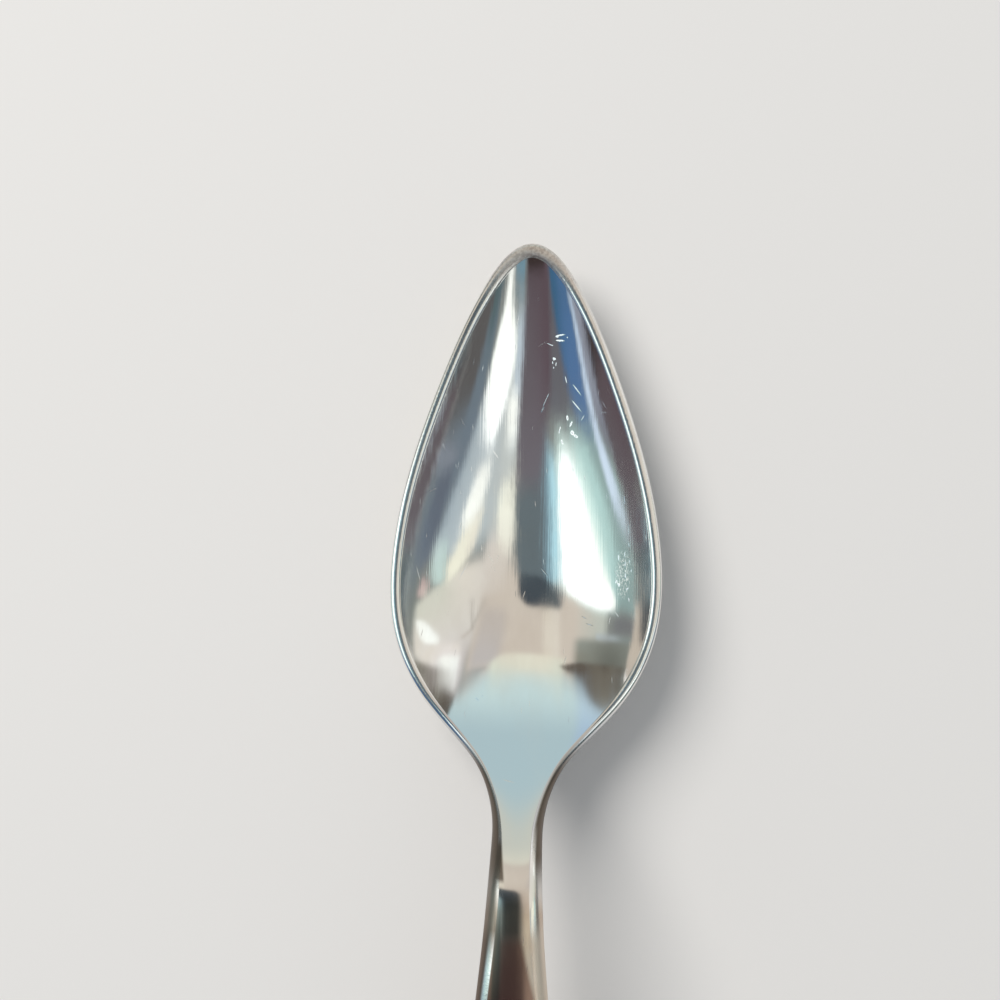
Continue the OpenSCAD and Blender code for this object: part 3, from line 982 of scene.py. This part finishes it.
# Each card has a name, over how many degrees its edge fades, and its corners in order round
# it, each with the tint there. Later cards hang in front of earlier ones.
cards = [
    ("left_side", 14, (-150, -60, "dusk"), (-84, -60, "dusk"), (-80, 60, "dusk"),
     (-150, 60, "dusk")),
    ("left_horizon", 8, (-150, -60, "bright"), (-93.5, -60, "bright"), (-93, 60, "bright"),
     (-150, 60, "bright")),
    ("right_side", 10, (74, -60, "moss_grey"), (150, -60, "moss_grey"), (150, 60, "moss_grey"),
     (80, 60, "moss_grey")),
    ("left_wall", 6, (-88, 37, "dove"), (-34, 37, "dove"), (-30, 52.5, "olive_grey"),
     (-62, 53, "dark_olive"), (-88, 48, "dark_olive")),
    ("left_wall_low", 6, (-60, 22, "silver_grey"), (-28, 20, "sand"), (-28, 38.5, "sand"),
     (-58, 37, "silver_grey")),
    ("left_shade", 7, (-98, 25, "smoke"), (-67, 25.5, "smoke"), (-65, 33, "smoke"),
     (-98, 34, "smoke")),
    ("left_rail", 2.5, (-82, 34.3, "dusk"), (-50, 34.5, "rail_grey"), (-50, 37.2, "rail_grey"),
     (-82, 37.6, "dusk")),
    ("ceiling", 8, (-37, 16, "sand"), (18, 8, "sand"), (32, 20, "sand"), (34, 60, "sand"),
     (-31, 60, "sand")),
    ("ceiling_glow", 5, (-22.5, 25, "mist"), (-12.5, 25, "beige"), (-12.5, 51, "beige"),
     (-22.5, 51, "mist")),
    ("ceiling_fold", 8, (9, 26, "taupe"), (26, 24, "taupe"), (31, 56, "lilac_grey"),
     (13, 56, "lilac_grey")),
    ("ceiling_low", 5, (9, 4, "cloud"), (26, 3, "cloud"), (29, 21, "cloud"), (10, 19, "sand")),
    ("ceiling_right", 5, (24, 8, "cloud"), (42, 9, "mist"), (62, 14, "pebble"),
     (79, 21, "pebble"), (79, 46, "mist"), (58, 56.5, "lilac_white"), (35, 57, "lilac_grey")),
    ("ceiling_pale", 6, (40, 42, "mist"), (66, 42, "mist"), (72, 49, "mist"),
     (50, 56, "lilac_white"), (37, 57, "lilac_white")),
    ("ceiling_bright", 3, (39, 50, "bright"), (52, 48.5, "white"), (58, 50.5, "bright"),
     (50, 54, "white"), (40, 55.5, "bright")),
    ("tent_seam", 2.2, (23.5, 21, "seam"), (25, 20.5, "seam"), (33, 34, "seam"),
     (31.5, 34.5, "seam")),
    ("tent_seam", 2.2, (33.5, 21, "seam"), (35, 21.5, "seam"), (32.5, 35, "seam"),
     (31, 34.5, "seam")),
    ("tent_seam", 2.2, (29.5, 33.5, "seam"), (31, 33, "seam"), (40, 39, "taupe"),
     (38.5, 40, "taupe")),
    ("ceiling_edge", 1.2, (17, 55.6, "edge_grey"), (40, 55.6, "edge_grey"),
     (38, 56.8, "edge_grey"), (24, 57.2, "edge_grey")),
    ("sky", 2.5, (-150, 57.2, "sky"), (150, 57.4, "sky"), (150, 150, "sky"),
     (-150, 150, "sky")),
    ("blue_sky", 12, (-150, 56, "blue_sky"), (-34, 56, "blue_sky"), (-30, 150, "blue_sky"),
     (-150, 150, "blue_sky")),
    ("cream_sky", 5, (-27, 50, "beige"), (-14, 49, "cream"), (8, 49, "cream"),
     (13, 51, "cream"), (18, 55.5, "pale_green"), (15, 58.6, "pale_green"),
     (-23, 58.6, "pale_green")),
    ("lower_room", 5, (8, -20, "low_grey"), (44, -20, "low_blue_grey"),
     (62, -6, "low_blue_grey"), (72, 5, "low_blue_grey"), (50, 8, "mist_blue"),
     (8, 3, "low_grey")),
    ("cream_bar", 4, (31, 0.6, "lemon"), (44, 1.2, "lemon"), (58, 9, "lemon"),
     (56, 15, "lemon"), (48, 12, "lemon"), (36, 6.5, "mist")),
    ("cream_corner", 4, (7, -1.5, "cream_white"), (14, -2, "cream_white"),
     (21, 0.5, "cream_white"), (18, 7, "mist"), (8, 9, "mist")),
    ("teal_patch", 4, (58, 4, "pale_teal"), (69, 2, "mist_blue"), (71, 10, "pale_teal"),
     (66, 15, "pale_teal"), (58, 14, "pale_teal")),
    ("rose_patch", 3, (70, 14, "rose"), (77, 11, "rose"), (79, 18, "rose"), (72, 19, "mist")),
    ("side_window", 3, (57, 38.5, "bright"), (66, 32.5, "bright"), (71, 29.5, "white"),
     (78, 29, "white"), (75, 36.5, "white"), (70, 41, "white"), (58, 42, "white")),
    ("right_far_low", 5, (78, -6, "slate_blue"), (104, -14, "moss_grey"),
     (104, 36, "moss_grey"), (83, 34, "moss_grey")),
    ("right_far_top", 5, (83, 30, "moss_grey"), (104, 30, "moss_grey"),
     (104, 56, "moss_grey"), (75, 52, "moss_grey")),
    ("right_low", 8, (46, -38, "pine"), (110, -34, "char"), (104, -3, "moss_grey"),
     (72, 4, "slate_blue"), (53, -10, "slate_blue")),
    ("right_low_brown", 6, (60, -30, "char"), (104, -30, "char"), (100, -14.5, "char"),
     (66, -14.5, "char")),
    ("right_low_dark", 5, (66, -8, "ink_blue"), (77, -9, "ink_blue"), (84, 5, "slate_blue"),
     (77, 10, "slate_blue"), (69, 1, "ink_blue")),
    ("right_low_line", 2.6, (63, -9, "pale_slate"), (72, -11.8, "pale_slate"),
     (95, -14.5, "pale_slate"), (95, -12, "pale_slate"), (73, -8, "pale_slate")),
    ("right_low_pine", 6, (47, -42, "pine"), (66, -38, "pine"), (60, -22, "pine"),
     (50, -19, "slate_blue")),
    ("bright_lens", 2.6, (29.5, -4.5, "white"), (36, -5.4, "white"), (42, -4.2, "white"),
     (47, -1.2, "white"), (51, 2.2, "white"), (42, 2.4, "white"), (35, 1.2, "white"),
     (31, -1.2, "white")),
    ("low_blue", 5, (4, -44, "dusty_blue"), (24, -44, "dusty_blue"), (24, -29, "dusty_blue"),
     (8, -28, "dusty_blue")),
    ("low_fringe", 7, (3, -26, "fringe_dark"), (17, -26, "fringe"), (16, -7, "fringe"),
     (8, -7, "fringe_dark")),
    ("low_window_end", 4, (28.5, -25, "white"), (29, -46, "glare"), (37, -46, "glare"),
     (38, -25, "white")),
    ("small_window", 4, (10, -14, "white"), (18, -14.5, "white"), (21, -11, "white"),
     (18, -6.8, "white"), (10, -6.5, "white")),
    ("low_window", 4, (15.5, -19.5, "white"), (18.5, -24.5, "white"), (27, -28.5, "white"),
     (35, -29.5, "white"), (41.5, -25, "white"), (47.5, -19.5, "white"), (49.5, -15.5, "white"),
     (47, -12, "glare"), (38, -8, "glare"), (31, -7, "glare"), (23, -12.5, "glare")),
    ("sage_fade", 8, (-96, -2, "sage"), (-66, -14, "sage"), (-52, -10, "sage"),
     (-52, 20, "sage"), (-90, 24, "sage")),
    ("mint_fade", 9, (-71, 2, "pale_mint"), (-60, -8, "pale_mint"), (-40, -14, "pale_mint"),
     (-40, 18, "pale_mint"), (-68, 23, "pale_mint")),
    ("window_glow", 8, (-65, 19, "mint"), (-62, 6, "mint"), (-54, -2.5, "mint"),
     (-42, -7.5, "mint"), (-27, -8.5, "mint"), (-22, -3, "mint"), (-22, 16, "mint"),
     (-36, 22, "mint"), (-60, 24, "mint")),
    ("left_low_shade", 6, (-90, -36, "plum_dark"), (-73, -34, "plum_dark"),
     (-76, -11, "plum_dark"), (-89, -11, "plum_dark")),
    ("left_low_grey", 5, (-50, -34, "plum_grey"), (-20, -34, "plum_grey"),
     (-20, -10, "shade"), (-52, -10, "shade")),
    ("blue_card", 7, (-68, -44, "deep_blue"), (-22, -44, "deep_blue"),
     (-34, -24, "deep_blue"), (-50, -11, "blue"), (-66, -11, "blue")),
    ("lilac_haze", 8, (-86, -36, "haze"), (-71, -36, "haze"), (-71, -13, "haze"),
     (-84, -12, "haze")),
    ("lilac_line", 5.5, (-73, -40, "line_blue"), (-66, -40, "line_blue"),
     (-65.8, -25, "line_blue"), (-66, -19, "lilac"), (-66.5, -10, "lilac"), (-73, -9, "lilac"),
     (-74, -20, "lilac"), (-73.8, -25, "line_blue")),
    ("lilac_curve", 4, (-74, -11, "lilac"), (-68, -9, "lilac"), (-73, -2.5, "lilac"),
     (-82, 1.5, "dim_lilac"), (-86, 1, "dim_lilac"), (-82, -5, "dim_lilac")),
    ("tall_window", 4, (-26, -4, "glare"), (-24, 0, "glare"), (-24, 15, "glare"),
     (-32, 20.5, "glare"), (-45, 23.3, "glare"), (-59, 24, "glare"), (-67, 22.5, "white"),
     (-67.5, 18, "white"), (-60, 9.5, "white"), (-52, 2, "white"), (-41, -4, "glare"),
     (-33, -6.3, "glare")),
    ("window_edge", 6, (-23, -4.5, "cyan"), (-8, -6, "cyan"), (-8, 18, "cyan"),
     (-23, 16, "cyan")),
    ("window_shade", 6, (-17.5, -8, "steel"), (-6, -8, "steel"), (-6, 18, "steel"),
     (-17.5, 17, "steel")),
    ("black_card_side", 6, (-13, -8, "graphite"), (0, -8, "graphite"), (0, 18, "graphite"),
     (-13, 18, "graphite")),
    ("low_card", 7, (-34, -44, "brown"), (2, -44, "brown"), (9, -16, "plum_grey"),
     (9, 1, "ash_plum"), (-9, 1, "ash_plum"), (-25, -16, "plum")),
    ("low_card_end", 5, (-24, -60, "soot"), (6, -60, "soot"), (4, -31, "soot"),
     (-22, -31, "soot")),
    ("black_card", 4, (-9, 0, "graphite"), (8, 0, "graphite"), (4, 14, "graphite"),
     (-9, 18, "graphite")),
    ("black_card_top", 2.4, (-25, 19, "slate"), (-15, 14.2, "ink"), (4, 13, "slate"),
     (3, 20.5, "ink"), (-2, 24.3, "ink"), (-23.5, 25, "slate")),
    ("left_wedge", 1.4, (-76, 48.5, "umber"), (-57, 49.8, "umber"), (-35, 51.5, "umber"),
     (-22, 54.5, "umber"), (-26, 56, "umber"), (-58, 56.6, "olive_grey")),
    ("right_wedge", 1.3, (38, 56.6, "umber"), (44, 55.0, "umber"), (58, 52, "olive_grey"),
     (60, 54.5, "umber"), (57, 59, "umber"), (46, 61, "umber")),
    ("right_wedge_end", 1.3, (56, 52.5, "umber"), (77, 48, "olive_grey"),
     (78, 49.6, "umber"), (58, 55, "umber")),
    ("right_horizon", 6, (92.5, -60, "tan"), (150, -60, "tan"), (150, 60, "tan"),
     (92, 60, "tan")),
]


def light_of(tint):
    """The light that shows as this display colour in the silver."""
    tint = np.array(tint)
    return np.where(tint < 0.04, tint / 12.92, ((tint + 0.055) / 1.055)**2.4) / silver_share


def tent_light(right, ahead):
    """The tent's light at each place, with one card laid over another."""
    light = np.tile(light_of(open_room), (len(right), 1))
    for _, fade, *corners in cards:
        cover = np.ones(len(right))
        total = np.zeros(len(right))
        mixed = np.zeros_like(light)
        for k, (x, y, tint) in enumerate(corners):
            next_x, next_y, _ = corners[(k + 1) % len(corners)]
            side_x = next_x - x
            side_y = next_y - y
            depth = side_x * (ahead - y) - side_y * (right - x)
            cover *= smoothstep(0.5 + depth / math.hypot(side_x, side_y) / fade)
            near = 1 / ((right - x)**2 + (ahead - y)**2 + fade**2)
            total += near
            mixed += near[:, None] * light_of(tints[tint])
        mixed /= total[:, None]
        light += cover[:, None] * (mixed - light)
    return light


def tent_material():
    material, tree, output = new_material("tent")
    light = add_node(tree, "ShaderNodeAttribute", attribute_name="light").outputs["Color"]
    glow = add_node(tree, "ShaderNodeEmission", {"Color": light, "Strength": 1.0})
    tree.links.new(glow.outputs[0], output.inputs["Surface"])
    material.cycles.emission_sampling = "NONE"
    return material


def light_tent():
    count = int(2 * tent_edge / tent_step) + 1
    spread = np.linspace(-tent_edge, tent_edge, count)
    right, ahead = (grid.ravel() for grid in np.meshgrid(spread, spread))
    zenith = np.radians(np.hypot(right, ahead))
    turn = np.arctan2(ahead, right)
    places = tent_radius * np.column_stack([
        np.sin(zenith) * np.cos(turn), np.sin(zenith) * np.sin(turn), np.cos(zenith),
    ])
    faces = []
    for j in range(count - 1):
        for i in range(count - 1):
            corner = j * count + i
            if zenith[corner] < math.radians(tent_edge):
                faces.append((corner, corner + 1, corner + count + 1, corner + count))
    mesh = bpy.data.meshes.new("light_tent")
    mesh.from_pydata(places.tolist(), [], faces)
    light = mesh.attributes.new("light", "FLOAT_COLOR", "POINT")
    shown = np.column_stack([tent_light(right, ahead), np.ones(len(right))])
    light.data.foreach_set("color", shown.ravel())
    tent = add_object("light_tent", mesh, tent_material())
    tent.visible_camera = False
    tent.visible_diffuse = False
    tent.visible_shadow = False


def add_object(name, mesh, material):
    made = bpy.data.objects.new(name, mesh)
    bpy.context.scene.collection.objects.link(made)
    mesh.materials.append(material)
    return made


floor_reach = 3.0
room_tint = (0.9, 0.95, 1.0, 1)
room_strength = 0.45


def floor():
    reach = floor_reach
    mesh = bpy.data.meshes.new("floor")
    corners = [(-reach, -reach, 0), (reach, -reach, 0), (reach, reach, 0), (-reach, reach, 0)]
    mesh.from_pydata(corners, [], [(0, 1, 2, 3)])
    made = add_object("floor", mesh, floor_material())


def soft_light(name, location, size, power, tint):
    """A large soft lamp that lights the floor and leaves no image of itself in the metal."""
    data = bpy.data.lights.new(name, "AREA")
    data.shape = "DISK"
    data.size = size
    data.energy = power
    data.color = tint
    lamp = bpy.data.objects.new(name, data)
    bpy.context.scene.collection.objects.link(lamp)
    lamp.location = location
    lamp.rotation_euler = (-Vector(location)).to_track_quat("-Z", "Y").to_euler()
    lamp.visible_glossy = False
    lamp.visible_camera = False


def room():
    world = bpy.data.worlds.new("room")
    world.use_nodes = True
    background = world.node_tree.nodes["Background"]
    background.inputs["Color"].default_value = room_tint
    background.inputs["Strength"].default_value = room_strength
    bpy.context.scene.world = world


# The camera of the photograph, in metres and degrees
camera_place = (6.50 * MM, 38.75 * MM, 150.48 * MM)
camera_pitch = 4.05
camera_yaw = 3.67
camera_roll = 1.31
camera_lens = 52.0
camera_sensor = 36.0


def camera():
    data = bpy.data.cameras.new("camera")
    data.sensor_width = camera_sensor
    data.lens = camera_lens
    data.clip_start = 5 * MM
    made = bpy.data.objects.new("camera", data)
    bpy.context.scene.collection.objects.link(made)
    made.matrix_world = (
        Matrix.Translation(camera_place)
        @ Matrix.Rotation(math.radians(camera_yaw), 4, "Y")
        @ Matrix.Rotation(math.radians(camera_pitch), 4, "X")
        @ Matrix.Rotation(math.radians(camera_roll), 4, "Z")
    )
    bpy.context.scene.camera = made


bpy.context.scene.view_settings.view_transform = "Standard"
camera()
room()
floor()
light_tent()
soft_light("window_lamp", (-0.5, 0.5, 0.8), size=0.7, power=9.0, tint=(1.0, 0.97, 0.93))

spoon = add_object("spoon", spoon_mesh(), silver_plate_material())
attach(spoon, "root")
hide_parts("bowl", "neck", "stem", "handle_end")
